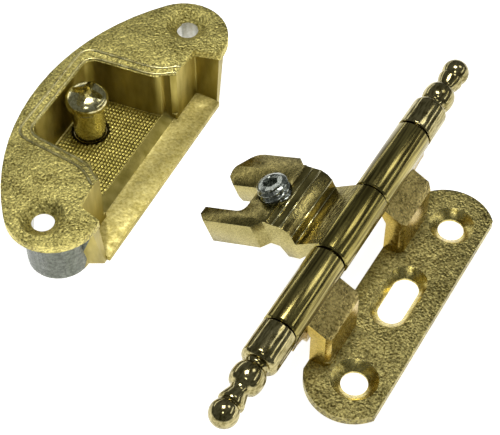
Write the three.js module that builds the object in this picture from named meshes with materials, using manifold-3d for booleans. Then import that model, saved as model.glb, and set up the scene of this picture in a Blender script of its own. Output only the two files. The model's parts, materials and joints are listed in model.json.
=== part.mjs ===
// Finial cabinet-door hinge in two loose halves: the hinge with its frame plate and turning arm, and the
// half-moon housing that sits in the door. Millimetres, +Z up. The origin is on the table under the middle of the
// hinge pin, +Y runs along the pin, +X points to the frame plate and -X to the door housing.
import * as THREE from "three";
import { mergeVertices } from "three/addons/utils/BufferGeometryUtils.js";
import Module from "manifold-3d";

const wasm = await Module();
wasm.setup();

// ---- Driving dimensions, in millimetres and degrees ----

// Frame plate.
const plateThickness = 1.5;
const plateInnerEdge = 2.7;
const plateWidth = 12.4;
const plateHoleSpacing = 32;
const plateHoleRadius = 2.0;
const plateHoleOutset = 1.0;
const countersinkRadius = 3.5;
const countersinkLand = 0.35;
const plateEndRadius = 7.15;
const plateEndOutset = 0.5;
const plateEndSetback = 0.4;
const slotLength = 8.8;
const slotWidth = 4.0;
const slotBevelLong = 1.6;
const slotBevelWide = 0.95;

// Barrel, pin and lugs.
const pinHeight = 12.3;
const pinRadius = 1.5;
const pinFit = 0.15;
const pinEndInset = 4.5;
const knuckleRadius = 2.85;
const armKnuckleExtra = 0.1;
const knuckleChamfer = 0.25;
const barrelLength = 41;
const armKnuckleLength = 12.8;
const knuckleGap = 0.3;
const lugThickness = 3.1;
const lugLength = 9.4;
const lugSetback = 0.3;
const lugTopDrop = 3.6;
const lugEdgeChamfer = 0.7;
const gussetThickness = 1.6;
const gussetDepth = 3.0;
const gussetSetback = 0.5;
const gussetTab = 0.7;
const webTopAngle = 46;
const webFilletAngle = 64;
const webFillet = 0.45;
const webDrop = 5.0;

// Finial: radii of its turned features and the lengths between them.
const ferruleLength = 5.2;
const grooveRadius = 1.85;
const grooveLength = 1.6;
const beadRadius = 2.5;
const beadLength = 3.5;
const neckRadius = 1.45;
const neckLength = 0.9;
const flareRadius = 2.0;
const flareLength = 1.95;
const tipRadius = 2.15;
const tipInset = 0.55;
const tipRootAngle = 30;
const finialBoreFit = 0.2;

// Arm: the riser's side view and the fork's plan.
const forkDroop = 24.5;
const forkThickness = 4.2;
const forkFootOut = 11.1;
const forkFootRise = 1.25;
const riserLength = 12.4;
const forkHalfWidth = 7.5;
const forkReach = 11.5;
const forkRoot = 0.6;
const tabSlope = 37;
const forkCorner = 1.3;
const forkSlotWidth = 6.0;
const forkSlotStart = 4.4;
const forkSlotOffset = -1.7;
const farProngExtra = 0.45;
const forkSlotCorner = 1.3;
const farProngRidge = 4.5;
const farProngDrop = 1.0;
const prongTipSlope = 1.3;
const setScrewOut = 1.4;

// Set screw.
const setScrewRadius = 2.45;
const setScrewFit = 0.15;
const setScrewStand = 2.1;
const setScrewTail = 0.4;
const setScrewChamfer = 0.4;
const socketRadius = 1.35;
const socketDepth = 1.5;

// Door housing, in its own axes: u along the chord, v back from it.
const housingTurn = 3;
const housingX = -33.0;
const housingY = 2.6;
const housingHeight = 11.2;
const flangeThickness = 1.5;
const lobeTipAngle = 97;
const moonDepth = 22.8;
const moonRadius = 37.7;
const lobeRadius = 7.4;
const lobeRise = 0.6;
const doorHoleHalfSpacing = 22.2;
const doorHoleBack = 8.4;
const doorHoleRadius = 1.75;
const doorCountersinkRadius = 3.4;
const skirtInset = 2.4;
const skirtThickness = 1.3;
const cheekInset = 0.25;
const cheekTop = 1.6;
const cheekFoot = 0.8;
const cheekRoot = 0.2;
const chordBack = 4.8;
const notchInset = 2.0;
const pocketHalfWidthBack = 8.7;
const pocketHalfWidthFront = 9.9;
const pocketMouthHalfWidth = 11.9;
const pocketBack = 19.1;
const pocketFlare = 2.8;
const pocketCorner = 2.0;
const pocketWall = 1.4;
const pocketBevelWidth = 1.3;
const pocketBevelDepth = 0.35;
const floorHeight = 2.0;
const ledgeHeight = 1.0;
const floorFront = 6.9;
const stepFoot = 5.3;
const ledgeFront = 0.4;
const ledgeHalfWidth = 17.8;

// Clamp screw.
const clampAlong = 2.0;
const clampBack = 15.5;
const clampShankRadius = 2.6;
const clampHeadOverhang = 0.85;
const clampHeadChamfer = 0.3;
const clampHeadRim = 1.1;
const clampHeadDome = 1.5;
const clampHeadUnderside = 8.9;
const clampFit = 0.4;
const crossWidth = 1.1;
const crossReach = 2.0;
const crossDepth = 1.3;

// Facets.
const roundSides = 48;
const turnedSides = 40;
const arcStep = 9;
const overcut = 1;

// ---- Solids ----

// A closed geometry as a solid that can be joined and cut.
function solid(geometry) {
  const bare = geometry.clone();
  bare.deleteAttribute("normal");
  bare.deleteAttribute("uv");
  const merged = mergeVertices(bare, 1e-4);
  return new wasm.Manifold(
    new wasm.Mesh({
      numProp: 3,
      vertProperties: merged.attributes.position.array,
      triVerts: new Uint32Array(merged.index.array),
    }),
  );
}

// A solid as a named mesh with flat faces.
function piece(name, body, material) {
  const mesh = body.getMesh();
  const geometry = new THREE.BufferGeometry();
  geometry.setAttribute("position", new THREE.BufferAttribute(new Float32Array(mesh.vertProperties), 3));
  geometry.setIndex(new THREE.BufferAttribute(new Uint32Array(mesh.triVerts), 1));
  const faceted = geometry.toNonIndexed();
  faceted.computeVertexNormals();
  const made = new THREE.Mesh(faceted, material);
  made.name = name;
  return made;
}

function union(bodies) {
  return bodies.reduce((sum, body) => sum.add(body));
}

function cutAll(body, tools) {
  return tools.reduce((left, tool) => left.subtract(tool), body);
}

// A closed outline given thickness along Z from zero.
function pushed(outline, depth) {
  return new THREE.ExtrudeGeometry(new THREE.Shape(outline), { depth, bevelEnabled: false });
}

// A plan outline pushed up from z = low to z = high.
function prism(outline, low, high) {
  const geometry = pushed(outline, high - low);
  geometry.translate(0, 0, low);
  return solid(geometry);
}

// A side view drawn as (x, z), pushed along Y from low to high.
function sidePrism(outline, low, high) {
  const geometry = pushed(outline, high - low);
  geometry.rotateX(Math.PI / 2);
  geometry.translate(0, high, 0);
  return solid(geometry);
}

// An end view drawn as (y, z), pushed along X from low to high.
function endPrism(outline, low, high) {
  const geometry = pushed(outline, high - low);
  geometry.rotateX(Math.PI / 2);
  geometry.rotateZ(Math.PI / 2);
  geometry.translate(low, 0, 0);
  return solid(geometry);
}

// A turned body about Z from (radius, height) points that start and end on the axis.
function turned(profile, sides = turnedSides) {
  return solid(new THREE.LatheGeometry(profile, sides).rotateX(Math.PI / 2));
}

// A round bar from low to high about Z at (x, y), with its own radius at each end.
function cone(x, y, low, high, lowRadius, highRadius, sides = roundSides) {
  const bar = turned([point(0, low), point(lowRadius, low), point(highRadius, high), point(0, high)], sides);
  return bar.translate([x, y, 0]);
}

// The same turned body laid along Y, with its height measured along Y.
function laidAlongY(body) {
  return body.rotate([-90, 0, 0]);
}

// The skin between two outlines with the same number of points, closed top and bottom.
function loft(lowOutline, low, highOutline, high) {
  const count = lowOutline.length;
  const corners = [];
  for (const p of lowOutline) corners.push(p.x, p.y, low);
  for (const p of highOutline) corners.push(p.x, p.y, high);
  const faces = [];
  for (let i = 0; i < count; i += 1) {
    const next = (i + 1) % count;
    faces.push(i, next, count + next, i, count + next, count + i);
  }
  for (const [a, b, c] of THREE.ShapeUtils.triangulateShape(lowOutline, [])) faces.push(a, c, b);
  for (const [a, b, c] of THREE.ShapeUtils.triangulateShape(highOutline, [])) {
    faces.push(count + a, count + b, count + c);
  }
  const geometry = new THREE.BufferGeometry();
  geometry.setAttribute("position", new THREE.Float32BufferAttribute(corners, 3));
  geometry.setIndex(faces);
  return solid(geometry);
}

// ---- Outlines ----

function point(x, y) {
  return new THREE.Vector2(x, y);
}

// Points along an arc about a centre, from one angle to another in degrees, ends included.
function arc(centre, radius, from, to, step = arcStep) {
  const count = Math.max(1, Math.round(Math.abs(to - from) / step));
  const points = [];
  for (let i = 0; i <= count; i += 1) {
    const angle = THREE.MathUtils.degToRad(from + ((to - from) * i) / count);
    points.push(point(centre.x + radius * Math.cos(angle), centre.y + radius * Math.sin(angle)));
  }
  return points;
}

// An outline with round ends, long along Y.
function roundEnded(centreX, halfWidth, halfLength) {
  const straight = halfLength - halfWidth;
  return [
    ...arc(point(centreX, straight), halfWidth, 0, 180),
    ...arc(point(centreX, -straight), halfWidth, 180, 360),
  ];
}

// An outline whose listed corners are rounded: corners are [x, y, radius], in counterclockwise order.
function rounded(corners) {
  const outline = [];
  corners.forEach(([x, y, radius = 0], index) => {
    const here = point(x, y);
    if (!radius) {
      outline.push(here);
      return;
    }
    const before = corners[(index + corners.length - 1) % corners.length];
    const after = corners[(index + 1) % corners.length];
    const toBefore = point(before[0], before[1]).sub(here).normalize();
    const toAfter = point(after[0], after[1]).sub(here).normalize();
    const half = Math.acos(THREE.MathUtils.clamp(toBefore.dot(toAfter), -1, 1)) / 2;
    const bisector = toBefore.clone().add(toAfter).normalize();
    const centre = here.clone().addScaledVector(bisector, radius / Math.sin(half));
    const start = here.clone().addScaledVector(toBefore, radius / Math.tan(half)).sub(centre);
    const end = here.clone().addScaledVector(toAfter, radius / Math.tan(half)).sub(centre);
    const from = THREE.MathUtils.radToDeg(Math.atan2(start.y, start.x));
    let to = THREE.MathUtils.radToDeg(Math.atan2(end.y, end.x));
    if (to - from > 180) to -= 360;
    if (from - to > 180) to += 360;
    outline.push(...arc(centre, radius, from, to, 2 * arcStep));
  });
  return outline;
}

// ---- Materials ----

function brass(colour, roughness) {
  return new THREE.MeshStandardMaterial({ color: colour, roughness, metalness: 1 });
}

const castBrass = () => brass(0xb09a4c, 0.5);
const polishedBrass = () => brass(0xb8a860, 0.2);
const steel = () => brass(0x8d9094, 0.35);

// ---- Frame plate with its lugs and outer knuckles ----

const knuckleEnd = barrelLength / 2;
const armKnuckleHalf = armKnuckleLength / 2;
const outerKnuckleStart = armKnuckleHalf + knuckleGap;
const boreRadius = pinRadius + pinFit;
const plateMiddle = plateInnerEdge + plateWidth / 2;
const lugStart = outerKnuckleStart + lugSetback;
const lugEnd = lugStart + lugLength;
const lugOuterFace = plateInnerEdge + lugThickness;

// A knuckle about the pin from y = low to y = high, with chamfered ends.
function knuckle(radius, low, high) {
  const rim = radius - knuckleChamfer;
  const profile = [
    point(0, low),
    point(rim, low),
    point(radius, low + knuckleChamfer),
    point(radius, high - knuckleChamfer),
    point(rim, high),
    point(0, high),
  ];
  return laidAlongY(turned(profile, roundSides)).translate([0, 0, pinHeight]);
}

// A point on a circle about the pin, seen along it, at an angle below the plate's side of the horizontal.
function belowPin(degrees, radius) {
  const angle = THREE.MathUtils.degToRad(degrees);
  return point(radius * Math.cos(angle), pinHeight - radius * Math.sin(angle));
}

function pinBore(half) {
  return laidAlongY(cone(0, 0, -half, half, boreRadius, boreRadius)).translate([0, 0, pinHeight]);
}

// One lug and the web that joins it to its knuckle, for the +Y side.
function lug() {
  const outerTop = pinHeight - lugTopDrop;
  const sideView = [
    point(plateInnerEdge, plateThickness / 2),
    point(lugOuterFace, plateThickness / 2),
    point(lugOuterFace, outerTop - lugEdgeChamfer),
    point(lugOuterFace - lugEdgeChamfer, outerTop),
    belowPin(webTopAngle, knuckleRadius),
    point(0, pinHeight),
    belowPin(90, knuckleRadius - knuckleChamfer),
    belowPin(webFilletAngle, knuckleRadius + webFillet),
    point(plateInnerEdge, pinHeight - webDrop),
  ];
  const block = sidePrism(sideView, lugStart, lugEnd);
  const edgeCut = [
    point(lugOuterFace - lugEdgeChamfer, lugStart - overcut),
    point(lugOuterFace + overcut, lugStart - overcut),
    point(lugOuterFace + overcut, lugStart + lugEdgeChamfer),
    point(lugOuterFace, lugStart + lugEdgeChamfer),
    point(lugOuterFace - lugEdgeChamfer, lugStart),
  ];
  const farCut = edgeCut.map((p) => point(p.x, lugStart + lugEnd - p.y)).reverse();
  return cutAll(block, [
    prism(edgeCut, plateThickness, pinHeight),
    prism(farCut, plateThickness, pinHeight),
  ]);
}

// The thin gusset under a knuckle, from the lug out to the knuckle's end.
function gusset() {
  const top = pinHeight - knuckleRadius / 2;
  const low = pinHeight - knuckleRadius - gussetTab;
  const face = plateInnerEdge - gussetSetback;
  const bottom = low - gussetDepth;
  const outline = [
    point(lugEnd - overcut, top),
    point(lugEnd - overcut, bottom),
    point(lugEnd, bottom),
    ...arc(point(lugEnd + gussetDepth, bottom), gussetDepth, 180, 90, 3 * arcStep),
    point(knuckleEnd, low),
    point(knuckleEnd, top),
  ];
  return endPrism(outline.reverse(), face - gussetThickness, face);
}

function mirroredY(body) {
  return body.mirror([0, 1, 0]);
}

function plateHoleTools() {
  const tools = [];
  const coneStart = countersinkLand;
  for (const side of [-1, 1]) {
    const x = plateMiddle + plateHoleOutset;
    const y = (side * plateHoleSpacing) / 2;
    const spread = (countersinkRadius - plateHoleRadius) / (plateThickness - coneStart);
    tools.push(cone(x, y, -overcut, plateThickness + overcut, plateHoleRadius, plateHoleRadius));
    tools.push(
      cone(x, y, coneStart, plateThickness + overcut, plateHoleRadius, countersinkRadius + spread * overcut),
    );
  }
  return tools;
}

function plateSlotTools() {
  const through = roundEnded(plateMiddle, slotWidth / 2, slotLength / 2);
  const reach = (plateThickness + overcut - countersinkLand) / (plateThickness - countersinkLand);
  const wide = slotWidth / 2 + slotBevelWide * reach;
  const long = slotLength / 2 + slotBevelLong * reach;
  return [
    prism(through, -overcut, plateThickness + overcut),
    loft(through, countersinkLand, roundEnded(plateMiddle, wide, long), plateThickness + overcut),
  ];
}

// The plate's plan: straight long edges cut off by one wide arc at each end.
function plateOutline() {
  const x = plateMiddle + plateEndOutset;
  const y = plateHoleSpacing / 2 - plateEndSetback;
  const outer = THREE.MathUtils.radToDeg(Math.acos((plateInnerEdge + plateWidth - x) / plateEndRadius));
  const inner = 180 - THREE.MathUtils.radToDeg(Math.acos((x - plateInnerEdge) / plateEndRadius));
  return [
    ...arc(point(x, y), plateEndRadius, outer, inner, arcStep / 2),
    ...arc(point(x, -y), plateEndRadius, -inner, -outer, arcStep / 2),
  ];
}

function framePlate() {
  const plate = prism(plateOutline(), 0, plateThickness);
  const side = union([knuckle(knuckleRadius, outerKnuckleStart, knuckleEnd), lug(), gusset()]);
  const body = union([plate, side, mirroredY(side)]);
  const tools = [...plateHoleTools(), ...plateSlotTools(), pinBore(knuckleEnd + overcut)];
  return piece("frame_plate", cutAll(body, tools), castBrass());
}

// ---- Hinge pin and finials ----

function hingePin() {
  const half = knuckleEnd + knuckleGap + pinEndInset;
  const bar = laidAlongY(cone(0, 0, -half, half, pinRadius, pinRadius, roundSides / 2));
  return piece("hinge_pin", bar.translate([0, 0, pinHeight]), steel());
}

// The finial's outline from its open end, as (radius, distance along the barrel).
function finialProfile() {
  const bore = pinRadius + finialBoreFit;
  const boreEnd = pinEndInset + knuckleGap;
  const beadMiddle = ferruleLength + grooveLength + beadLength / 2;
  const neckStart = ferruleLength + grooveLength + beadLength;
  const flareStart = neckStart + neckLength;
  const tipMiddle = flareStart + flareLength + tipRadius - tipInset;
  const shoulder = arc(point(grooveRadius, ferruleLength), knuckleRadius - grooveRadius, 0, 90, 2 * arcStep);
  const swell = arc(point(0, 0), 1, -90, 90, 2 * arcStep).slice(1, -1);
  const bead = swell.map((p) => {
    return point(grooveRadius + (beadRadius - grooveRadius) * p.x, beadMiddle + (beadLength / 2) * p.y);
  });
  const tipRoot = THREE.MathUtils.radToDeg(Math.acos(flareRadius / tipRadius)) + tipRootAngle;
  const tip = arc(point(0, tipMiddle), tipRadius, -tipRoot, 90).slice(0, -1);
  return [
    point(0, boreEnd),
    point(bore, boreEnd),
    point(bore, 0),
    point(knuckleRadius - knuckleChamfer, 0),
    point(knuckleRadius, knuckleChamfer),
    ...shoulder,
    ...bead,
    point(neckRadius, neckStart + neckLength / 4),
    point(neckRadius, flareStart),
    point((neckRadius + 2 * flareRadius) / 3, flareStart + flareLength / 3),
    point(flareRadius, flareStart + (flareLength * 3) / 4),
    ...tip,
    point(0, tipMiddle + tipRadius),
  ];
}

function finial(name, side) {
  const body = laidAlongY(turned(finialProfile())).translate([0, knuckleEnd + knuckleGap, pinHeight]);
  return piece(name, side > 0 ? body : mirroredY(body), polishedBrass());
}

// ---- Arm ----

const forkFoot = point(-forkFootOut, pinHeight + forkFootRise);

// Lays a body drawn with +X out along the fork, +Y along the pin and z = 0 on the fork's top face.
function onFork(body) {
  return body.scale([-1, 1, 1]).rotate([0, -forkDroop, 0]).translate([forkFoot.x, 0, forkFoot.y]);
}

// The fork seen from above its own face, running out along +X from its root in the riser.
function forkPlan() {
  const riserHalf = riserLength / 2;
  const slotLow = forkSlotOffset - forkSlotWidth / 2;
  const slotHigh = forkSlotOffset + forkSlotWidth / 2;
  const farReach = forkReach + farProngExtra;
  return rounded([
    [-forkRoot, -riserHalf],
    [0, -riserHalf],
    [forkCorner, -forkHalfWidth],
    [forkReach - forkCorner, -forkHalfWidth],
    [forkReach, -forkHalfWidth + forkCorner],
    [forkReach, slotLow],
    [forkSlotStart, slotLow, forkSlotCorner],
    [forkSlotStart, slotHigh, forkSlotCorner],
    [farReach - forkCorner, slotHigh, forkCorner / 4],
    [farReach, slotHigh + forkCorner, forkCorner / 2],
    [farReach, slotHigh + 2 * forkCorner, forkCorner],
    [farReach - 2 * forkCorner, forkHalfWidth, 2 * forkCorner],
    [forkCorner, forkHalfWidth],
    [0, riserHalf],
    [-forkRoot, riserHalf],
  ]);
}

// The sloping face on top of the far prong, down to its edge along the slot.
function farProngCut() {
  const edge = forkSlotOffset + forkSlotWidth / 2 - overcut;
  const fall = (farProngDrop * (farProngRidge - edge)) / (farProngRidge - edge - overcut);
  const view = [
    point(edge, -fall),
    point(farProngRidge, 0),
    point(farProngRidge, overcut),
    point(edge, overcut),
  ];
  return endPrism(view, forkSlotStart, forkReach + farProngExtra + overcut);
}

function forkBody() {
  const plan = prism(forkPlan(), -forkThickness - overcut, overcut);
  const sideView = [
    point(-forkRoot, -forkThickness),
    point(forkReach - prongTipSlope, -forkThickness),
    point(forkReach + farProngExtra, -prongTipSlope / 2),
    point(forkReach + farProngExtra, 0),
    point(-forkRoot, 0),
  ];
  const side = sidePrism(sideView, -forkHalfWidth - overcut, forkHalfWidth + overcut);
  return onFork(plan.intersect(side).subtract(farProngCut()));
}

// The riser between the fork's foot and the centre knuckle, seen along the pin. Each point is a share of the way
// out to the foot and a height above the pin's axis, over the tab and the hump, then back underneath.
function riserView() {
  const at = (share, rise) => point(-share * forkFootOut, pinHeight + rise);
  const radius = knuckleRadius + armKnuckleExtra;
  const tangent = THREE.MathUtils.degToRad(tabSlope);
  return [
    point(-radius * Math.sin(tangent), pinHeight + radius * Math.cos(tangent)),
    at(0.5, -0.55),
    at(0.56, 0.75),
    at(0.63, 1.45),
    at(0.73, 1.8),
    at(0.85, 1.5),
    forkFoot.clone(),
    at(0.92, -3.1),
    at(0.85, -2.75),
    at(0.72, -2.5),
    at(0.585, -4.0),
    at(0.42, -3.4),
    at(0.35, -2.3),
    belowPin(180 - tabSlope, radius - knuckleChamfer),
    point(0, pinHeight),
  ];
}

function doorArm() {
  const riser = sidePrism(riserView(), -riserLength / 2, riserLength / 2);
  const barrel = knuckle(knuckleRadius + armKnuckleExtra, -armKnuckleHalf, armKnuckleHalf);
  const hole = setScrewRadius + setScrewFit;
  const tools = [
    pinBore(armKnuckleHalf + overcut),
    onFork(cone(setScrewOut, 0, -2 * forkThickness, forkThickness, hole, hole, turnedSides)),
  ];
  return piece("door_arm", cutAll(union([barrel, riser, forkBody()]), tools), polishedBrass());
}

// ---- Screws ----

function hexagon(radius) {
  return arc(point(setScrewOut, 0), radius, 30, 330, 60);
}

function setScrew() {
  const low = -forkThickness - setScrewTail;
  const rim = setScrewRadius - setScrewChamfer;
  const shank = turned([
    point(0, low),
    point(rim, low),
    point(setScrewRadius, low + setScrewChamfer),
    point(setScrewRadius, setScrewStand - setScrewChamfer),
    point(rim, setScrewStand),
    point(0, setScrewStand),
  ]).translate([setScrewOut, 0, 0]);
  const socket = prism(hexagon(socketRadius), setScrewStand - socketDepth, setScrewStand + overcut);
  return piece("set_screw", onFork(shank.subtract(socket)), steel());
}

// The cross recess of the clamp screw's head.
function crossRecess(top) {
  const half = crossWidth / 2;
  const bar = [
    point(-crossReach, -half),
    point(crossReach, -half),
    point(crossReach, half),
    point(-crossReach, half),
  ];
  const other = bar.map((p) => point(-p.y, p.x));
  return union([prism(bar, top - crossDepth, top + overcut), prism(other, top - crossDepth, top + overcut)]);
}

function clampScrew() {
  const head = clampShankRadius + clampHeadOverhang;
  const rim = clampHeadUnderside + clampHeadRim;
  const top = rim + clampHeadDome;
  const quarter = arc(point(0, 0), 1, 0, 90).slice(0, -1);
  const dome = quarter.map((p) => point(head * p.x, rim + clampHeadDome * p.y));
  const body = turned([
    point(0, 0),
    point(clampShankRadius, 0),
    point(clampShankRadius, clampHeadUnderside),
    point(head - clampHeadChamfer, clampHeadUnderside),
    point(head, clampHeadUnderside + clampHeadChamfer),
    ...dome,
    point(0, top),
  ]);
  const screw = body.subtract(crossRecess(top)).rotate([0, 0, 45]).translate([-clampBack, clampAlong, 0]);
  return piece("clamp_screw", inHousing(screw), polishedBrass());
}

// ---- Door housing ----

// Lays a body drawn with +Y along the chord and -X back from it into its place on the table.
function inHousing(body) {
  return body.rotate([0, 0, housingTurn]).translate([housingX, housingY, 0]);
}

// Turns outline points written as (along the chord, back from it) into plan points.
function housingPlan(points) {
  return points.map((p) => point(-p.y, p.x));
}

// The lobes touch the back arc from inside, which sets how far apart they are.
const lobeAboveCentre = lobeRise + lobeRadius - moonDepth + moonRadius;
const moonLobeAlong = Math.sqrt((moonRadius - lobeRadius) ** 2 - lobeAboveCentre ** 2);

// The half-moon outline shrunk by an inset, from the lower tip round the back to the upper tip, in (u, v).
function moonOutline(inset) {
  const lobeCentre = point(moonLobeAlong, lobeRise + lobeRadius);
  const moonCentre = point(0, moonDepth - moonRadius);
  const meet = THREE.MathUtils.radToDeg(Math.atan2(lobeAboveCentre, moonLobeAlong));
  const lobe = lobeRadius - inset;
  const back = moonRadius - inset;
  return [
    ...arc(lobeCentre, lobe, -lobeTipAngle, meet),
    ...arc(moonCentre, back, meet, 180 - meet, arcStep / 2).slice(1, -1),
    ...arc(point(-lobeCentre.x, lobeCentre.y), lobe, 180 - meet, 180 + lobeTipAngle),
  ];
}

// The whole plan: the half-moon with its chord stepped back between the two lobes. Only the skirt's hollow moves
// in from the chord and from the lobes' inner sides, by its own inset.
function flangeOutline(inset, chordInset = 0) {
  const notch = moonLobeAlong - notchInset + chordInset;
  const chord = chordBack + chordInset;
  return housingPlan([...moonOutline(inset), point(-notch, chord), point(notch, chord)]);
}

// The pocket's plan, grown by a margin on every side.
function pocketOutline(margin, frontMargin = overcut) {
  const back = pocketBack + margin;
  const corner = pocketCorner + Math.max(margin, 0);
  const front = chordBack - frontMargin;
  const flareStart = chordBack + pocketFlare;
  const near = [
    [pocketMouthHalfWidth + margin, front],
    [pocketMouthHalfWidth + margin, chordBack],
    [pocketHalfWidthFront + margin, flareStart, pocketCorner],
    [pocketHalfWidthBack + margin, back, corner],
  ];
  const far = near.map(([u, v, radius]) => [-u, v, radius]).reverse();
  return housingPlan(rounded([...near, ...far]));
}

// The cheek at one end of the ledge, leaning from the flange's tip in to the ledge's end, in (u, v).
function cheek(side, top) {
  const tip = moonOutline(0)[0];
  const front = tip.y + cheekInset;
  const back = chordBack - cheekRoot;
  const root = point(moonLobeAlong - notchInset + cheekRoot / 2, back);
  const wall = point(tip.x + cheekTop, back);
  const high = [point(tip.x, front), point(tip.x + cheekTop, front), wall, root];
  const low = [point(ledgeHalfWidth, front), point(ledgeHalfWidth + cheekFoot, front), wall, root];
  const placed = (outline) => {
    const here = outline.map((p) => point(side * p.x, p.y));
    return housingPlan(side > 0 ? here : here.reverse());
  };
  return loft(placed(low), 0, placed(high), top);
}

function housingShell() {
  const skirtHeight = housingHeight - flangeThickness;
  const flange = prism(flangeOutline(0), skirtHeight, housingHeight);
  const outer = prism(flangeOutline(skirtInset), 0, skirtHeight + flangeThickness / 2);
  const hollow = prism(flangeOutline(skirtInset + skirtThickness, skirtThickness), -overcut, skirtHeight);
  const box = prism(pocketOutline(pocketWall, 0), 0, skirtHeight + flangeThickness / 2);
  const skirt = outer.subtract(hollow);
  return union([flange, skirt, cheek(1, skirtHeight), cheek(-1, skirtHeight), box.intersect(outer)]);
}

function doorHoleTools() {
  const tools = [];
  const top = housingHeight;
  const rise = flangeThickness - countersinkLand;
  const spread = (doorCountersinkRadius - doorHoleRadius) / rise;
  for (const side of [-1, 1]) {
    const x = -doorHoleBack;
    const y = side * doorHoleHalfSpacing;
    tools.push(cone(x, y, -overcut, top + overcut, doorHoleRadius, doorHoleRadius));
    const wide = doorCountersinkRadius + spread * overcut;
    tools.push(cone(x, y, top - rise, top + overcut, doorHoleRadius, wide));
  }
  return tools;
}

function doorHousing() {
  const ledgeRoot = moonLobeAlong - notchInset + skirtThickness / 2;
  const ledgeBack = chordBack + skirtThickness / 2;
  const stepHalf = pocketHalfWidthFront + pocketWall;
  const bore = clampShankRadius + clampFit;
  const frontEdge = [
    point(-ledgeHalfWidth, ledgeFront),
    point(ledgeHalfWidth, ledgeFront),
    point(ledgeRoot, ledgeBack),
    point(-ledgeRoot, ledgeBack),
  ];
  const step = [
    point(-floorFront, floorHeight),
    point(-stepFoot, ledgeHeight),
    point(0, ledgeHeight),
    point(0, housingHeight),
    point(-floorFront, housingHeight),
  ];
  const ledge = prism(housingPlan(frontEdge), 0, ledgeHeight);
  const body = housingShell().add(ledge);
  const bevelTop = pocketOutline(pocketBevelWidth * (1 + overcut / pocketBevelDepth));
  const tools = [
    prism(pocketOutline(0, 4 * overcut), floorHeight, housingHeight + overcut),
    sidePrism(step, -stepHalf, stepHalf),
    loft(pocketOutline(0), housingHeight - pocketBevelDepth, bevelTop, housingHeight + overcut),
    cone(-clampBack, clampAlong, -overcut, housingHeight, bore, bore),
    ...doorHoleTools(),
  ];
  return piece("door_housing", inHousing(cutAll(body, tools)), castBrass());
}

// ---- Assembly ----

const hinge = new THREE.Group();
hinge.add(framePlate());
hinge.add(hingePin());
hinge.add(finial("upper_finial", 1));
hinge.add(finial("lower_finial", -1));
hinge.add(doorArm());
hinge.add(setScrew());
hinge.add(doorHousing());
hinge.add(clampScrew());

export default hinge;
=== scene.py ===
import json
import math
import bmesh
import bpy
from mathutils import Matrix, Vector

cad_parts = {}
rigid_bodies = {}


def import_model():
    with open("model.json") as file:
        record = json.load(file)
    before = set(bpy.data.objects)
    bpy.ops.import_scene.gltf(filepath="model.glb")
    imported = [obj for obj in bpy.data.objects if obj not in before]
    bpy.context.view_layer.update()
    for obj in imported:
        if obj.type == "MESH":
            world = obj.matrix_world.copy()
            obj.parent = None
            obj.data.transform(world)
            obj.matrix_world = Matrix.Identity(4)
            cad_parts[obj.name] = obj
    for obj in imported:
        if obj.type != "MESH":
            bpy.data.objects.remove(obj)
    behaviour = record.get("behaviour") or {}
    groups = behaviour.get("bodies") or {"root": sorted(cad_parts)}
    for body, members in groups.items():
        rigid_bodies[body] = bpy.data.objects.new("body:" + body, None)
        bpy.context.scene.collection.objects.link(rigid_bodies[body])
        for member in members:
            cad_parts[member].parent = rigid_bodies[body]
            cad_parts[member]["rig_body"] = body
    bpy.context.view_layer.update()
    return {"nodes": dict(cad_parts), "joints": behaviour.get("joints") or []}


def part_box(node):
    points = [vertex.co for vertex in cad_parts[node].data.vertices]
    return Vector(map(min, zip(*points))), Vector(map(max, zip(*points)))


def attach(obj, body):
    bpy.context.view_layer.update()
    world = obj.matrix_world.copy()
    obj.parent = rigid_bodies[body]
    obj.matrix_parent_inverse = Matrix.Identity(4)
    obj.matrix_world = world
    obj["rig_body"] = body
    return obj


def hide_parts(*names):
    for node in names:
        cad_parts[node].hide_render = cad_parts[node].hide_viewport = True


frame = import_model()

# ---- Frame plate: one brass casting with its lugs and outer knuckles ----
# The plate and lugs keep the grain of the sand mould under thin gold plating. The knuckles are turned and
# polished. It is screwed flat to the cabinet frame through its two countersunk holes and its slot.

MM = 0.001
PIN_Z = (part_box("hinge_pin")[0].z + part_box("hinge_pin")[1].z) / 2
KNUCKLE_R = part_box("lower_finial")[1].x
EVEN = (1, 1, 1)
ON_ROUNDED_EDGE = 1


def colour(code):
    """A six-digit sRGB code as linear red, green, blue and alpha."""
    parts = [int(code[i:i + 2], 16) / 255 for i in (0, 2, 4)]
    return tuple(c / 12.92 if c <= 0.04045 else ((c + 0.055) / 1.055) ** 2.4 for c in parts) + (1.0,)


def add(tree, kind, inputs=None, **settings):
    """Adds a node: settings go on the node, and inputs are values or other nodes' outputs by socket name."""
    node = tree.nodes.new(kind)
    for key, value in settings.items():
        setattr(node, key, value)
    for key, value in (inputs or {}).items():
        if isinstance(value, bpy.types.NodeSocket):
            tree.links.new(value, node.inputs[key])
        else:
            node.inputs[key].default_value = value
    return node


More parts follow.
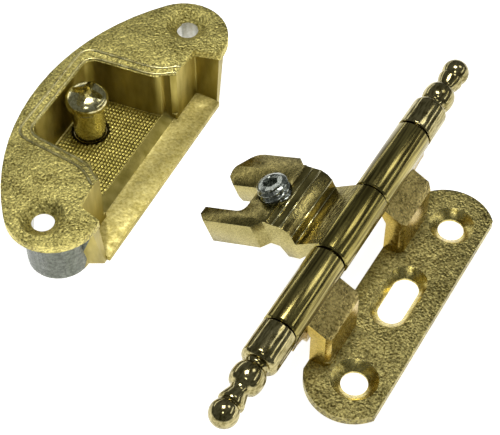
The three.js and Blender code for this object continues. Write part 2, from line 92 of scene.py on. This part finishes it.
def metal(name, tints, rough, bumps):
    """A metal whose colour, roughness and relief come from layers of noise.

    A layer is (size of a lump in millimetres, detail, stretch). A small stretch draws the lumps out along
    that axis, and a detail of 0 makes angular cells. tints are (layer, low, dark, high, light), rough is
    (layer, least, most) and bumps are (layer, depth in millimetres), the lowest laid first.
    """
    made = bpy.data.materials.new(name)
    made.use_nodes = True
    tree = made.node_tree
    shader = tree.nodes["Principled BSDF"]
    shader.inputs["Metallic"].default_value = 1.0
    place = add(tree, "ShaderNodeTexCoord").outputs["Object"]
    noise = {}
    for layer in dict.fromkeys(row[0] for row in (*tints, rough, *bumps)):
        size, detail, stretch = layer
        scale = tuple(along / (size * MM) for along in stretch)
        scaled = add(tree, "ShaderNodeMapping", {"Vector": place, "Scale": scale})
        inputs = {"Vector": scaled.outputs["Vector"], "Scale": 1.0}
        if detail:
            noise[layer] = add(tree, "ShaderNodeTexNoise", {**inputs, "Detail": detail}).outputs["Fac"]
        else:
            noise[layer] = add(tree, "ShaderNodeTexVoronoi", inputs, feature="F1").outputs["Distance"]

    base = None
    for layer, low, dark, high, light in tints:
        ramp = add(tree, "ShaderNodeValToRGB", {"Fac": noise[layer]})
        first, last = ramp.color_ramp.elements
        first.position, first.color = low, colour(dark)
        last.position, last.color = high, colour(light)
        shade = ramp.outputs["Color"]
        if base is not None:
            mixed = add(tree, "ShaderNodeMixRGB", {"Fac": 0.6, "Color1": base, "Color2": shade})
            shade = mixed.outputs["Color"]
        base = shade
    tree.links.new(base, shader.inputs["Base Color"])

    layer, least, most = rough
    shine = add(tree, "ShaderNodeMapRange", {
        "Value": noise[layer], "From Min": 0.3, "From Max": 0.7, "To Min": least, "To Max": most,
    })
    tree.links.new(shine.outputs["Result"], shader.inputs["Roughness"])

    relief = None
    for layer, depth in bumps:
        inputs = {"Height": noise[layer], "Distance": depth * MM, "Strength": 1.0}
        if relief is not None:
            inputs["Normal"] = relief
        relief = add(tree, "ShaderNodeBump", inputs).outputs["Normal"]
    tree.links.new(relief, shader.inputs["Normal"])
    return made


def cast_brass(name, dark, light, grain_mm, grain_depth, rough):
    """Sand-cast brass: close grain, broad stains and small glittering facets."""
    grain = (grain_mm, 4.0, EVEN)
    stain = (3.0, 3.0, EVEN)
    lump = (grain_mm * 2.6, 2.0, EVEN)
    facets = (grain_mm / 0.8, 0, EVEN)
    return metal(
        name,
        [(stain, 0.3, dark, 0.7, light), (grain, 0.36, dark, 0.6, light)],
        (lump, rough - 0.1, rough + 0.1),
        [(lump, grain_depth * 1.4), (facets, grain_depth * 0.5), (grain, grain_depth)],
    )


def polished_brass(name, dark, light, rough, along=(1, 0.06, 1), depth=0.006):
    """Turned and polished brass: faint lathe or draw lines and thin stains in the plating."""
    lines = (0.35, 4.0, along)
    stain = (1.6, 3.0, along)
    specks = (0.22, 3.0, EVEN)
    return metal(
        name,
        [(stain, 0.35, dark, 0.62, light), (lines, 0.4, dark, 0.56, light)],
        (specks, rough, rough + 0.12),
        [(stain, depth * 3), (lines, depth)],
    )


def finished(node, name, radius_mm, sharper_than):
    """The CAD piece with its flat facets merged and its sharp edges rounded, ready to be shaded smooth."""
    mesh = bmesh.new()
    mesh.from_mesh(frame["nodes"][node].data)
    bmesh.ops.remove_doubles(mesh, verts=mesh.verts, dist=2e-6)
    bmesh.ops.dissolve_limit(mesh, angle_limit=math.radians(0.4), verts=mesh.verts, edges=mesh.edges)
    sharp = [e for e in mesh.edges if e.is_manifold and e.calc_face_angle(0) > math.radians(sharper_than)]
    rounded = bmesh.ops.bevel(
        mesh, geom=sharp, offset=radius_mm * MM, segments=2, profile=0.5, affect="EDGES", clamp_overlap=True,
        loop_slide=True,
    )
    for face in rounded["faces"]:
        face.material_index = ON_ROUNDED_EDGE
    bmesh.ops.triangulate(mesh, faces=mesh.faces)
    return shown(mesh, name, node)


def linked(mesh, name):
    """Turns a bmesh into an object of the scene."""
    data = bpy.data.meshes.new(name)
    mesh.to_mesh(data)
    mesh.free()
    made = bpy.data.objects.new(name, data)
    bpy.context.scene.collection.objects.link(made)
    return made


def shown(mesh, name, node, smooth=32):
    """Turns a bmesh into the piece that stands for a CAD node and rides on that node's body."""
    bmesh.ops.recalc_face_normals(mesh, faces=mesh.faces)
    for face in mesh.faces:
        face.smooth = True
    for edge in mesh.edges:
        if edge.is_manifold and edge.calc_face_angle(0) > math.radians(smooth):
            edge.smooth = False
    made = linked(mesh, name)
    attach(made, frame["nodes"][node]["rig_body"])
    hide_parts(node)
    return made


def painted(piece, materials, choose):
    """Gives the piece its materials: the last on its rounded edges as a painted highlight, one chosen for
    each other face.
    """
    for material in materials:
        piece.data.materials.append(material)
    for face in piece.data.polygons:
        # Rounded-edge faces take the last material, pale brass that paints a highlight along them.
        on_highlit_edge = face.material_index == ON_ROUNDED_EDGE
        face.material_index = materials.index(materials[-1] if on_highlit_edge else choose(face.center, face.normal))


# Smooth brass for the rounded edges; its pale colour is a painted highlight along them.
edge_highlight_brass = polished_brass("edge_highlight_brass", "C8BA74", "F4ECBC", 0.12)
sunk_brass = polished_brass("sunk_brass", "94843E", "DCCC80", 0.2, (1, 1, 0.2), 0.02)
plate_brass = cast_brass("plate_cast_brass", "524820", "D2C47C", 0.36, 0.22, 0.38)
lug_top_brass = cast_brass("lug_top_brass", "54481E", "CEBA74", 0.36, 0.08, 0.3)
lug_brass = cast_brass("lug_brass", "A48A3C", "C8B05C", 0.22, 0.012, 0.24)
knuckle_brass = polished_brass("knuckle_brass", "4A401C", "B4A664", 0.12, (1, 0.04, 1), 0.012)

PLATE_TOP = 1.7 * MM
HOLES_AT = 9.3 * MM
HOLES_HALF_WIDTH = 2.8 * MM
HOLES_REACH = 18.5 * MM


def plate_material(middle, normal):
    """The plate's metal at a face: on a knuckle, on a lug, in a hole or its countersink, or on the plate."""
    if math.hypot(middle.x, middle.z - PIN_Z) < KNUCKLE_R * 1.02:
        return knuckle_brass
    if middle.z > PLATE_TOP:
        # A lug's top takes coarser grain than its sides, and its darker tone is a painted shade by facing.
        return lug_top_brass if normal.z > 0.5 else lug_brass
    sloping = 0.3 < normal.z < 0.97
    in_hole = (
        abs(normal.z) < 0.1 and abs(middle.x - HOLES_AT) < HOLES_HALF_WIDTH and abs(middle.y) < HOLES_REACH
    )
    return sunk_brass if sloping or in_hole else plate_brass


plate = finished("frame_plate", "plate_casting", 0.2, 28)
painted(plate, [plate_brass, lug_brass, knuckle_brass, sunk_brass, lug_top_brass, edge_highlight_brass], plate_material)

# ---- Hinge pin: drawn steel bar through all three knuckles ----
# It is a plain round bar pressed into the finials and shows only as thin lines in the knuckle gaps.


def circle(mesh, radius, height, sides):
    """A level ring of points round the Z axis."""
    wide = radius * MM
    turns = [2 * math.pi * i / sides for i in range(sides)]
    return [mesh.verts.new((wide * math.cos(turn), wide * math.sin(turn), height * MM)) for turn in turns]


def turned(profile, sides):
    """A closed body turned about Z from (radius, height) points in millimetres that start and end on it."""
    mesh = bmesh.new()
    rings = []
    for radius, height in profile:
        if radius < 1e-6:
            rings.append([mesh.verts.new((0, 0, height * MM))])
            continue
        rings.append(circle(mesh, radius, height, sides))
    for low, high in zip(rings, rings[1:]):
        for i in range(sides):
            j = (i + 1) % sides
            corners = [low[i % len(low)], low[j % len(low)], high[j % len(high)], high[i % len(high)]]
            mesh.faces.new(list(dict.fromkeys(corners)))
    return mesh


steel_lines = (0.3, 3.0, (1, 0.05, 1))
steel = metal(
    "pin_steel", [(steel_lines, 0.3, "7C7E80", 0.7, "A4A6A8")], (steel_lines, 0.25, 0.4),
    [(steel_lines, 0.004)],
)

pin_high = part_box("hinge_pin")[1]
PIN_CHAMFER = 0.3
pin_half = pin_high.y / MM
pin_radius = pin_high.x / MM
pin_mesh = turned([
    (0, -pin_half), (pin_radius - PIN_CHAMFER, -pin_half), (pin_radius, -pin_half + PIN_CHAMFER),
    (pin_radius, pin_half - PIN_CHAMFER), (pin_radius - PIN_CHAMFER, pin_half), (0, pin_half),
], 64)
bmesh.ops.transform(
    pin_mesh, matrix=Matrix.Translation((0, 0, PIN_Z)) @ Matrix.Rotation(math.radians(-90), 4, "X"),
    verts=pin_mesh.verts,
)
pin = shown(pin_mesh, "pin_bar", "hinge_pin")
pin.data.materials.append(steel)

# ---- Finials: turned and polished brass caps pressed on the pin's two ends ----
# Each has a plain ferrule, a groove, a bead, a narrow neck that flares to a collar, and a ball tip.


def arc_points(radius_at, height_at, radius, start, stop, steps=10, tall=None):
    """Points along an arc in a turned profile, from start to stop degrees."""
    tall = radius if tall is None else tall
    return [
        (radius_at + radius * math.cos(math.radians(start + (stop - start) * i / steps)),
         height_at + tall * math.sin(math.radians(start + (stop - start) * i / steps)))
        for i in range(steps + 1)
    ]


finial_brass = polished_brass("finial_brass", "6E6436", "BCB080", 0.07, (1, 0.25, 1), 0.005)
finial_low, finial_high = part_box("upper_finial")
finial_length = (finial_high.y - finial_low.y) / MM
ferrule_radius = finial_high.x / MM
ball_radius = 2.15
ball_at = finial_length - ball_radius
ferrule = [
    (0, 4.8), (1.7, 4.8), (1.7, 0.02), (ferrule_radius - 0.3, 0.02),
    *arc_points(ferrule_radius - 0.25, 0.25, 0.25, -80, 0, 4),
    (ferrule_radius, 2.0), (ferrule_radius, 4.2),
    *arc_points(ferrule_radius - 1.0, 5.15, 1.0, 0, 84, 10),
]
groove = [(1.86, 6.3), (1.84, 6.6), (1.9, 6.85)]
bead_and_neck = [
    *arc_points(1.75, 8.55, 0.75, -74, 74, 14, 1.72),
    (1.72, 10.36), (1.5, 10.55), (1.46, 10.8), (1.48, 11.1), (1.62, 11.5), (1.78, 12.0), (1.92, 12.5),
]
collar = [(2.0, 12.85), (1.94, 13.08), (1.66, 13.22), (1.62, 13.34)]
ball = [*arc_points(0, ball_at, ball_radius, -41, 88, 18), (0, finial_length)]
finial_profile = ferrule + groove + bead_and_neck + collar + ball
for finial_node, side in (("upper_finial", 1), ("lower_finial", -1)):
    finial_mesh = turned(finial_profile, 96)
    start_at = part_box(finial_node)[0].y if side > 0 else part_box(finial_node)[1].y
    lay = Matrix.Translation((0, start_at, PIN_Z)) @ Matrix.Rotation(math.radians(-90 * side), 4, "X")
    bmesh.ops.transform(finial_mesh, matrix=lay, verts=finial_mesh.verts)
    finial = shown(finial_mesh, finial_node.replace("finial", "turned_finial"), finial_node)
    finial.data.materials.append(finial_brass)

# ---- Arm: forked brass casting with the middle knuckle, milled and polished ----
# The riser's hump and tab carry mill lines along the pin and small bright pits. The fork's top is painted
# darker: painted shade.

arm_knuckle_brass = polished_brass("arm_knuckle_brass", "4A401C", "B2A45E", 0.12, (1, 0.04, 1), 0.012)
arm_side_brass = cast_brass("arm_side_brass", "847A48", "B8AC72", 0.25, 0.006, 0.26)
fork_top_brass = cast_brass("fork_top_brass", "645A2C", "A89A5C", 0.25, 0.01, 0.24)

riser_lines = (0.5, 3.0, (1, 0.1, 1))
riser_pits = (0.4, 4.0, EVEN)
riser_stain = (1.2, 3.0, (1, 0.3, 1))
riser_brass = metal(
    "riser_brass", [(riser_stain, 0.35, "74683A", 0.65, "BCAE6C")], (riser_pits, 0.12, 0.26),
    [(riser_lines, 0.03), (riser_pits, 0.035)],
)

FORK_ROOT = -11.2 * MM


def arm_material(middle, normal):
    """The arm's metal at a face: on the knuckle, on its two sides, on the fork or on the riser."""
    if math.hypot(middle.x, middle.z - PIN_Z) < KNUCKLE_R * 1.05:
        return arm_knuckle_brass
    if abs(normal.y) > 0.5:
        return arm_side_brass
    if middle.x < FORK_ROOT:
        # The fork's top is painted darker than its sides, a painted shade.
        return fork_top_brass if normal.z > 0.5 else arm_side_brass
    return riser_brass


arm = finished("door_arm", "arm_casting", 0.18, 13)
painted(arm, [arm_knuckle_brass, arm_side_brass, fork_top_brass, riser_brass, edge_highlight_brass], arm_material)


def skin(mesh, rings, closed=True):
    """Lays faces from each ring of points to the next, and closes the two end rings."""
    for low, high in zip(rings, rings[1:]):
        for i in range(len(low)):
            j = (i + 1) % len(low)
            mesh.faces.new((low[i], low[j], high[j], high[i]))
    if closed:
        mesh.faces.new(rings[-1])
        mesh.faces.new(list(reversed(rings[0])))


# Raised mill ridges along the riser, where one facet turns into the next.
RISER_RIDGES = ((-9.44, 13.8), (-8.1, 14.1), (-6.22, 13.05), (-5.55, 11.75))
RIDGE_R = 0.15
RIDGE_HALF_LENGTH = 6.15
ridge_mesh = bmesh.new()
for ridge_x, ridge_z in RISER_RIDGES:
    ends = []
    for ridge_y in (-RIDGE_HALF_LENGTH, RIDGE_HALF_LENGTH):
        ends.append([
            ridge_mesh.verts.new((
                (ridge_x + RIDGE_R * math.cos(k * math.pi / 5)) * MM, ridge_y * MM,
                (ridge_z + RIDGE_R * math.sin(k * math.pi / 5)) * MM,
            )) for k in range(10)
        ])
    skin(ridge_mesh, ends)
bmesh.ops.recalc_face_normals(ridge_mesh, faces=ridge_mesh.faces)
for face in ridge_mesh.faces:
    face.smooth = len(face.verts) == 4
ridges = linked(ridge_mesh, "riser_ridges")
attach(ridges, "arm")
# The ridges take the pale edge brass, a painted highlight along them.
ridges.data.materials.append(edge_highlight_brass)

# ---- Set screw: threaded steel stud with a hexagon socket, screwed down through the fork's root ----
# It is oiled dark steel, mottled lighter and darker at random.

screw_wear = (0.3, 3.0, EVEN)
screw_steel = metal(
    "screw_steel", [(screw_wear, 0.3, "686E66", 0.7, "CCD0C6")], (screw_wear, 0.14, 0.3),
    [(screw_wear, 0.008)],
)

travel = next(j for j in frame["joints"] if j["name"] == "set_screw_travel")
screw_axis = Vector(travel["axis"]).normalized()
screw_low, screw_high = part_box("set_screw")
screw_middle = (screw_low + screw_high) / 2
screw_radius = (screw_high.y - screw_low.y) / 2 / MM
screw_half = 3.35
thread_pitch = 1.0
thread_depth = 0.5
end_taper = 0.45
screw_sides = 72
screw_rows = int(2 * screw_half / thread_pitch * 12)
screw_mesh = bmesh.new()
screw_rings = []
for row in range(screw_rows + 1):
    height = -screw_half + 2 * screw_half * row / screw_rows
    ease = min(1.0, (screw_half - abs(height)) / end_taper)
    ring = []
    for i in range(screw_sides):
        turn = (height / thread_pitch - i / screw_sides) % 1.0
        crest = 1 - abs(2 * turn - 1)
        radius = screw_radius - 0.02 - thread_depth * (1 - min(1.0, crest * 1.25)) - 0.4 * (1 - ease)
        angle = 2 * math.pi * i / screw_sides
        place = (radius * MM * math.cos(angle), radius * MM * math.sin(angle), height * MM)
        ring.append(screw_mesh.verts.new(place))
    screw_rings.append(ring)


def socket_ring(across, height):
    """A ring of points on a hexagon's outline."""
    ring = []
    for i in range(screw_sides):
        angle = 2 * math.pi * i / screw_sides
        reach = across / math.cos((angle % (math.pi / 3)) - math.pi / 6)
        place = (reach * MM * math.cos(angle), reach * MM * math.sin(angle), height * MM)
        ring.append(screw_mesh.verts.new(place))
    return ring


screw_rings.append(socket_ring(1.1, screw_half - 0.05))
screw_rings.append(socket_ring(1.0, screw_half - 0.2))
screw_rings.append(socket_ring(0.95, screw_half - 1.3))
skin(screw_mesh, screw_rings)
stand = Vector((0, 0, 1)).rotation_difference(screw_axis).to_matrix().to_4x4()
bmesh.ops.transform(screw_mesh, matrix=Matrix.Translation(screw_middle) @ stand, verts=screw_mesh.verts)
set_screw = shown(screw_mesh, "set_screw_stud", "set_screw", 50)
set_screw.data.materials.append(screw_steel)

# ---- Door housing: half-moon brass casting, let into the door's edge ----
# The flange's face and the ledge are as-cast and plated, the pocket's walls are milled with upright lines,
# the pocket's floor is knurled, and the skirt below the flange is bare zinc-grey metal.

slide_axis = next(j for j in frame["joints"] if j["name"] == "housing_place")["axis"]
HOUSING_TURN = math.atan2(slide_axis[1], slide_axis[0])
HOUSING_AT = Vector((-33.0 * MM, 2.6 * MM, 0))
HOUSING = Matrix.Translation(HOUSING_AT) @ Matrix.Rotation(HOUSING_TURN, 4, "Z")
FLANGE_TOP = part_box("door_housing")[1].z

flange_brass = cast_brass("flange_brass", "6E6228", "F8EA90", 0.36, 0.16, 0.5)
skirt_metal = cast_brass("skirt_metal", "4E5244", "84887A", 0.5, 0.006, 0.28)
# Near-white zinc for the raw undersides, and as a painted bright reflection on the skirt's inner faces.
raw_zinc_and_painted_light = cast_brass("raw_zinc_and_painted_light", "DCDCD4", "F4F4F0", 0.4, 0.01, 0.5)
ledge_brass = cast_brass("ledge_brass", "BCAC5C", "EADC92", 0.4, 0.03, 0.56)
wall_lines = (0.4, 3.0, (1, 1, 0.05))
wall_stain = (1.8, 3.0, (1, 1, 0.3))
wall_brass = metal(
    "wall_brass", [(wall_stain, 0.3, "94863E", 0.7, "BCAC60")], (wall_lines, 0.36, 0.48),
    [(wall_lines, 0.008)],
)
floor_brass = cast_brass("knurl_brass", "8A8038", "C4B464", 0.25, 0.015, 0.36)


def in_housing(point):
    """A point as (along the chord, back from it), in millimetres."""
    local = HOUSING.inverted() @ Vector(point)
    return local.y / MM, -local.x / MM


FLANGE_FOOT = FLANGE_TOP - 1.4 * MM
LEDGE_TOP = 3 * MM
POCKET_HALF, POCKET_BACK = 12.2, 20
NOTCH_HALF, NOTCH_BACK = 20.4, 5
MOON_CENTRE_BACK = -14.9
SKIRT_REACH = 35.0
LOBE_FROM = 16
LOBE_ALONG, LOBE_BACK = 19.8, 8.0


def housing_material(middle, normal):
    """The housing's metal at a face: skirt, raw underside, flange, ledge, step or wall; the skirt's inside is
    painted near-white.
    """
    along, back = in_housing(middle)
    upright = abs(normal.z) < 0.35
    if upright and middle.z < FLANGE_FOOT and math.hypot(along, back - MOON_CENTRE_BACK) > SKIRT_REACH:
        return skirt_metal
    if normal.z < -0.35:
        return raw_zinc_and_painted_light
    if normal.z > 0.35:
        if middle.z > LEDGE_TOP:
            return flange_brass
        return ledge_brass if normal.z > 0.98 else wall_brass
    in_pocket = abs(along) < POCKET_HALF and back < POCKET_BACK
    if middle.z > FLANGE_FOOT and not in_pocket:
        return flange_brass
    if in_pocket or (abs(along) < NOTCH_HALF and back < NOTCH_BACK):
        return wall_brass
    outward = Vector((0, 1))
    if abs(along) > LOBE_FROM:
        outward = Vector((along - math.copysign(LOBE_ALONG, along), back - LOBE_BACK))
    facing = HOUSING.inverted().to_3x3() @ normal
    # The skirt's outer faces are grey metal, and its inner faces are painted near-white as a painted bright
    # reflection.
    return skirt_metal if outward.dot(Vector((facing.y, -facing.x))) > 0 else raw_zinc_and_painted_light


housing = finished("door_housing", "housing_casting", 0.2, 25)
painted(housing, [flange_brass, wall_brass, skirt_metal, raw_zinc_and_painted_light, ledge_brass, edge_highlight_brass], housing_material)

# The rounded double bead round the pocket's mouth, proud of the flange outside and lower inside.


def pocket_rim(margin):
    """The pocket's outline grown by a margin, as (along, back) points from one side of the mouth round."""
    side = [(11.9, 4.9, 0.0), (11.9, 5.4, 0.5), (9.9, 7.6, 2.4), (8.7, 19.1, 2.4)]
    corners = [(along + margin, back + (margin if back > 15 else 0), r) for along, back, r in side]
    corners += [(-along, back, r) for along, back, r in reversed(corners)]
    line = []
    for i, (along, back, radius) in enumerate(corners):
        here = Vector((along, back))
        if not radius:
            line.append(here)
            continue
        start = here + (Vector(corners[i - 1][:2]) - here).normalized() * radius
        end = here + (Vector(corners[i + 1][:2]) - here).normalized() * radius
        for step in range(9):
            t = step / 8
            line.append(start * (1 - t) ** 2 + here * 2 * t * (1 - t) + end * t ** 2)
    return line


def bead(name, margin, radius, drop):
    """A half-sunk round bead along the pocket's rim."""
    line = pocket_rim(margin)
    mesh = bmesh.new()
    rings = []
    for i, here in enumerate(line):
        along = (line[min(i + 1, len(line) - 1)] - line[max(i - 1, 0)]).normalized()
        aside = Vector((along.y, -along.x))
        ring = []
        for k in range(10):
            angle = 2 * math.pi * k / 10
            spot = here + aside * radius * math.cos(angle)
            height = FLANGE_TOP / MM - drop + radius * math.sin(angle)
            ring.append(mesh.verts.new((-spot.y * MM, spot.x * MM, height * MM)))
        rings.append(ring)
    skin(mesh, rings)
    bmesh.ops.recalc_face_normals(mesh, faces=mesh.faces)
    bmesh.ops.transform(mesh, matrix=HOUSING, verts=mesh.verts)
    for face in mesh.faces:
        face.smooth = True
    made = linked(mesh, name)
    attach(made, "housing")
    made.data.materials.append(bead_highlight_brass)


# The beads are painted pale brass, a painted highlight along the pocket's rim.
bead_highlight_brass = cast_brass("bead_highlight_brass", "C4B468", "F0E6A8", 0.5, 0.01, 0.3)
bead("outer_bead", 1.6, 0.3, 0.1)
bead("inner_bead", 0.4, 0.28, 0.32)

# The knurled floor: low ridges along the chord, crossed by shallower cuts, round the clamp screw's hole.
FLOOR_Z = 2.0
KNURL_FRONT, KNURL_BACK = 6.95, 18.8
KNURL_PITCH, CUT_PITCH = 0.56, 0.7
KNURL_TALL = 0.16
BEND_BACK = 7.6
FLOOR_HALF, FLOOR_BACK_HALF = 9.75, 8.6
ROUNDING_BACK, ROUNDING = 17.3, 2.0
CLEAR_OF_SCREW = 3.1
screw_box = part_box("clamp_screw")
clamp_along, clamp_back = in_housing((screw_box[0] + screw_box[1]) / 2)
knurl_mesh = bmesh.new()
knurl_rows, knurl_columns = 130, 150
knurl_grid = []
for row in range(knurl_rows + 1):
    back = KNURL_FRONT + (KNURL_BACK - KNURL_FRONT) * row / knurl_rows
    if back > BEND_BACK:
        half = FLOOR_HALF - (back - BEND_BACK) * (FLOOR_HALF - FLOOR_BACK_HALF) / 12
    else:
        half = FLOOR_HALF + (BEND_BACK - back) * 0.7
    if back > ROUNDING_BACK:
        half -= ROUNDING - math.sqrt(max(0.0, ROUNDING ** 2 - (back - ROUNDING_BACK) ** 2))
    line = []
    for column in range(knurl_columns + 1):
        along = -half + 2 * half * column / knurl_columns
        ridge = abs(2 * ((back / KNURL_PITCH + 0.12 * math.sin(along * 1.7)) % 1.0) - 1)
        cross = abs(2 * ((along / CUT_PITCH + back * 0.2) % 1.0) - 1)
        height = 0.03 + KNURL_TALL * ridge * (0.25 + 0.75 * min(1.0, cross * 1.8))
        line.append(knurl_mesh.verts.new((-back * MM, along * MM, (FLOOR_Z + height) * MM)))
    knurl_grid.append(line)
for low_line, high_line in zip(knurl_grid, knurl_grid[1:]):
    for i in range(knurl_columns):
        middle = (low_line[i].co + high_line[i + 1].co) / 2
        if math.hypot(middle.y / MM - clamp_along, -middle.x / MM - clamp_back) > CLEAR_OF_SCREW:
            knurl_mesh.faces.new((low_line[i], low_line[i + 1], high_line[i + 1], high_line[i]))
bmesh.ops.transform(knurl_mesh, matrix=HOUSING, verts=knurl_mesh.verts)
for face in knurl_mesh.faces:
    face.normal_update()
    face.smooth = True
    if face.normal.z < 0:
        face.normal_flip()
knurl = linked(knurl_mesh, "pocket_knurl")
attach(knurl, "housing")
knurl.data.materials.append(floor_brass)

# ---- Clamp screw: domed brass screw standing in the pocket, with a cross recess ----
# Its shank runs through the housing's floor, and the arm's fork slides round it under the head.

clamp_brass = polished_brass("clamp_brass", "A89C5C", "F0E8B8", 0.13, (1, 1, 1), 0.006)
clamp_top = screw_box[1].z / MM
clamp_head = (screw_box[1].x - screw_box[0].x) / 2 / MM
clamp_profile = [
    (0, 0), (2.35, 0), (2.6, 0.25), (2.6, 7.9),
    (2.68, 8.0), (2.85, 8.1), (2.9, 8.4), (2.78, 8.55), (2.9, 8.92),
    *arc_points(clamp_head - 0.3, 9.22, 0.3, -85, 0, 4),
    (clamp_head, 9.7),
    *arc_points(0, 9.8, clamp_head, 2, 88, 16, clamp_top - 9.8),
    (0, clamp_top),
]
clamp_mesh = turned(clamp_profile, 96)

RECESS_DEPTH = 1.9
RECESS_FOOT, RECESS_MOUTH = 0.86, 1.06
RECESS_ARM = ((2.65, -0.5), (2.9, 0.0), (2.65, 0.5), (0.75, 0.75))


def recess_cutter(top):
    """The cross-shaped punch of the recess, tapering downwards."""
    turns = [Matrix.Rotation(math.radians(90 * quarter), 2) for quarter in range(4)]
    outline = [turn @ Vector(point) for turn in turns for point in RECESS_ARM]
    cutter = bmesh.new()
    rings = []
    for size, height in ((RECESS_FOOT, top - RECESS_DEPTH), (RECESS_MOUTH, top + 0.4)):
        rings.append([cutter.verts.new((p.x * size * MM, p.y * size * MM, height * MM)) for p in outline])
    skin(cutter, rings)
    return cutter


cross_turn = Matrix.Rotation(math.radians(8), 4, "Z")
clamp_place = HOUSING @ Matrix.Translation((-clamp_back * MM, clamp_along * MM, 0)) @ cross_turn
bmesh.ops.transform(clamp_mesh, matrix=clamp_place, verts=clamp_mesh.verts)
clamp = shown(clamp_mesh, "clamp_screw_turned", "clamp_screw")
clamp.data.materials.append(clamp_brass)
punch_mesh = recess_cutter(clamp_top)
bmesh.ops.transform(punch_mesh, matrix=clamp_place, verts=punch_mesh.verts)
bmesh.ops.recalc_face_normals(punch_mesh, faces=punch_mesh.faces)
punch = linked(punch_mesh, "recess_punch")
cut = clamp.modifiers.new("recess", "BOOLEAN")
cut.operation = "DIFFERENCE"
cut.solver = "EXACT"
cut.object = punch
bpy.context.view_layer.update()
cut_mesh = bpy.data.meshes.new_from_object(clamp.evaluated_get(bpy.context.evaluated_depsgraph_get()))
clamp.modifiers.clear()
clamp.data = cut_mesh
bpy.data.objects.remove(punch)
clamp.data.set_sharp_from_angle(angle=math.radians(32))

# A dark ring round the shank at the floor: a painted shadow in the mouth of the tapped hole.
painted_shadow_ring_mesh = bmesh.new()
painted_shadow_ring_rings = [circle(painted_shadow_ring_mesh, radius, FLOOR_Z + 0.06, 64) for radius in (3.25, 2.64)]
skin(painted_shadow_ring_mesh, painted_shadow_ring_rings, closed=False)
bmesh.ops.transform(painted_shadow_ring_mesh, matrix=clamp_place, verts=painted_shadow_ring_mesh.verts)
painted_shadow_ring = linked(painted_shadow_ring_mesh, "shank_shadow_ring")
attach(painted_shadow_ring, "housing")
painted_shadow_ring.data.materials.append(cast_brass("shank_shadow_brass", "1E1A0C", "3A3216", 0.3, 0.02, 0.5))

# ---- Table, lights and camera ----
# A white table with a painted pool of light round the hinge, a dim studio round it, and soft boxes that put
# long streaks down the polished barrel.

table_mesh = bpy.data.meshes.new("table")
table_mesh.from_pydata([(-3, -3, 0), (3, -3, 0), (3, 3, 0), (-3, 3, 0)], [], [(0, 1, 2, 3)])
table = bpy.data.objects.new("table", table_mesh)
table.location.z = -0.05 * MM
bpy.context.scene.collection.objects.link(table)
table_paint = bpy.data.materials.new("table_paint")
table_paint.use_nodes = True
table_shader = table_paint.node_tree.nodes["Principled BSDF"]
table_shader.inputs["Base Color"].default_value = (0.9, 0.9, 0.9, 1)
table_shader.inputs["Roughness"].default_value = 0.7
table_shader.inputs["Specular IOR Level"].default_value = 0.2
table_shader.inputs["Emission Color"].default_value = (1, 1, 1, 1)
table_place = add(table_paint.node_tree, "ShaderNodeTexCoord").outputs["Object"]
table_reach = add(table_paint.node_tree, "ShaderNodeVectorMath", {0: table_place}, operation="LENGTH")
# The table glows near the hinge, and less further out: a painted pool of light.
table_glow = add(table_paint.node_tree, "ShaderNodeMapRange", {
    "Value": table_reach.outputs["Value"], "From Min": 0.11, "From Max": 0.22, "To Min": 0.88, "To Max": 0.25,
})
table_paint.node_tree.links.new(table_glow.outputs["Result"], table_shader.inputs["Emission Strength"])
table.data.materials.append(table_paint)

world = bpy.data.worlds.new("studio")
bpy.context.scene.world = world
world.use_nodes = True
world.node_tree.nodes["Background"].inputs["Color"].default_value = (0.95, 1.0, 0.95, 1)
world.node_tree.nodes["Background"].inputs["Strength"].default_value = 0.13

HINGE_MIDDLE = Vector((-0.018, 0, 0.008))
STRIP_DISTANCE = 0.45


def soft_box(name, azimuth, elevation, distance, width, height, power):
    """A rectangular light facing the hinge from a direction given like a view's, in degrees and metres."""
    a, e = math.radians(azimuth), math.radians(elevation)
    away = Vector((math.sin(a) * math.cos(e), -math.cos(a) * math.cos(e), math.sin(e)))
    data = bpy.data.lights.new(name, "AREA")
    data.shape = "RECTANGLE"
    data.size, data.size_y, data.energy = width, height, power
    lamp = bpy.data.objects.new(name, data)
    lamp.location = HINGE_MIDDLE + away * distance
    lamp.rotation_euler = away.to_track_quat("Z", "Y").to_euler()
    bpy.context.scene.collection.objects.link(lamp)
    return lamp


def strip(name, around, width, power):
    """A long light parallel to the barrel, seen in it at an angle round its axis."""
    angle = math.radians(around)
    made = soft_box(name, 0, 90, STRIP_DISTANCE, width, 0.5, power)
    away = Vector((0.847 * math.sin(angle), 0.531, 0.847 * math.cos(angle)))
    made.location = away * STRIP_DISTANCE
    made.rotation_euler = (0, angle, 0)


strip("left_streak", -75, 0.05, 0.14)
strip("middle_streak", 55, 0.04, 0.14)
strip("right_streak", 85, 0.04, 0.14)
soft_box("over_box", 210, 80, 0.5, 0.14, 0.14, 1.0)
soft_box("lug_box", 148, 50, 0.5, 0.12, 0.12, 0.12)
soft_box("front_key", 20, 60, 0.6, 0.1, 0.1, 0.2)

camera_data = bpy.data.cameras.new("camera")
camera_data.sensor_width = 36
camera_data.lens = 108
camera_data.clip_start, camera_data.clip_end = 0.01, 20
camera = bpy.data.objects.new("camera", camera_data)
azimuth, elevation = math.radians(30.15), math.radians(52.14)
right = Vector((math.cos(azimuth), math.sin(azimuth), 0))
back = Vector((
    math.sin(azimuth) * math.cos(elevation), -math.cos(azimuth) * math.cos(elevation), math.sin(elevation),
))
up = back.cross(right)
camera.matrix_world = Matrix.Translation((0.05378, -0.12126, 0.18447)) @ Matrix((
    (right.x, up.x, back.x, 0), (right.y, up.y, back.y, 0), (right.z, up.z, back.z, 0), (0, 0, 0, 1),
))
bpy.context.scene.collection.objects.link(camera)
bpy.context.scene.camera = camera
bpy.context.scene.view_settings.view_transform = "Standard"
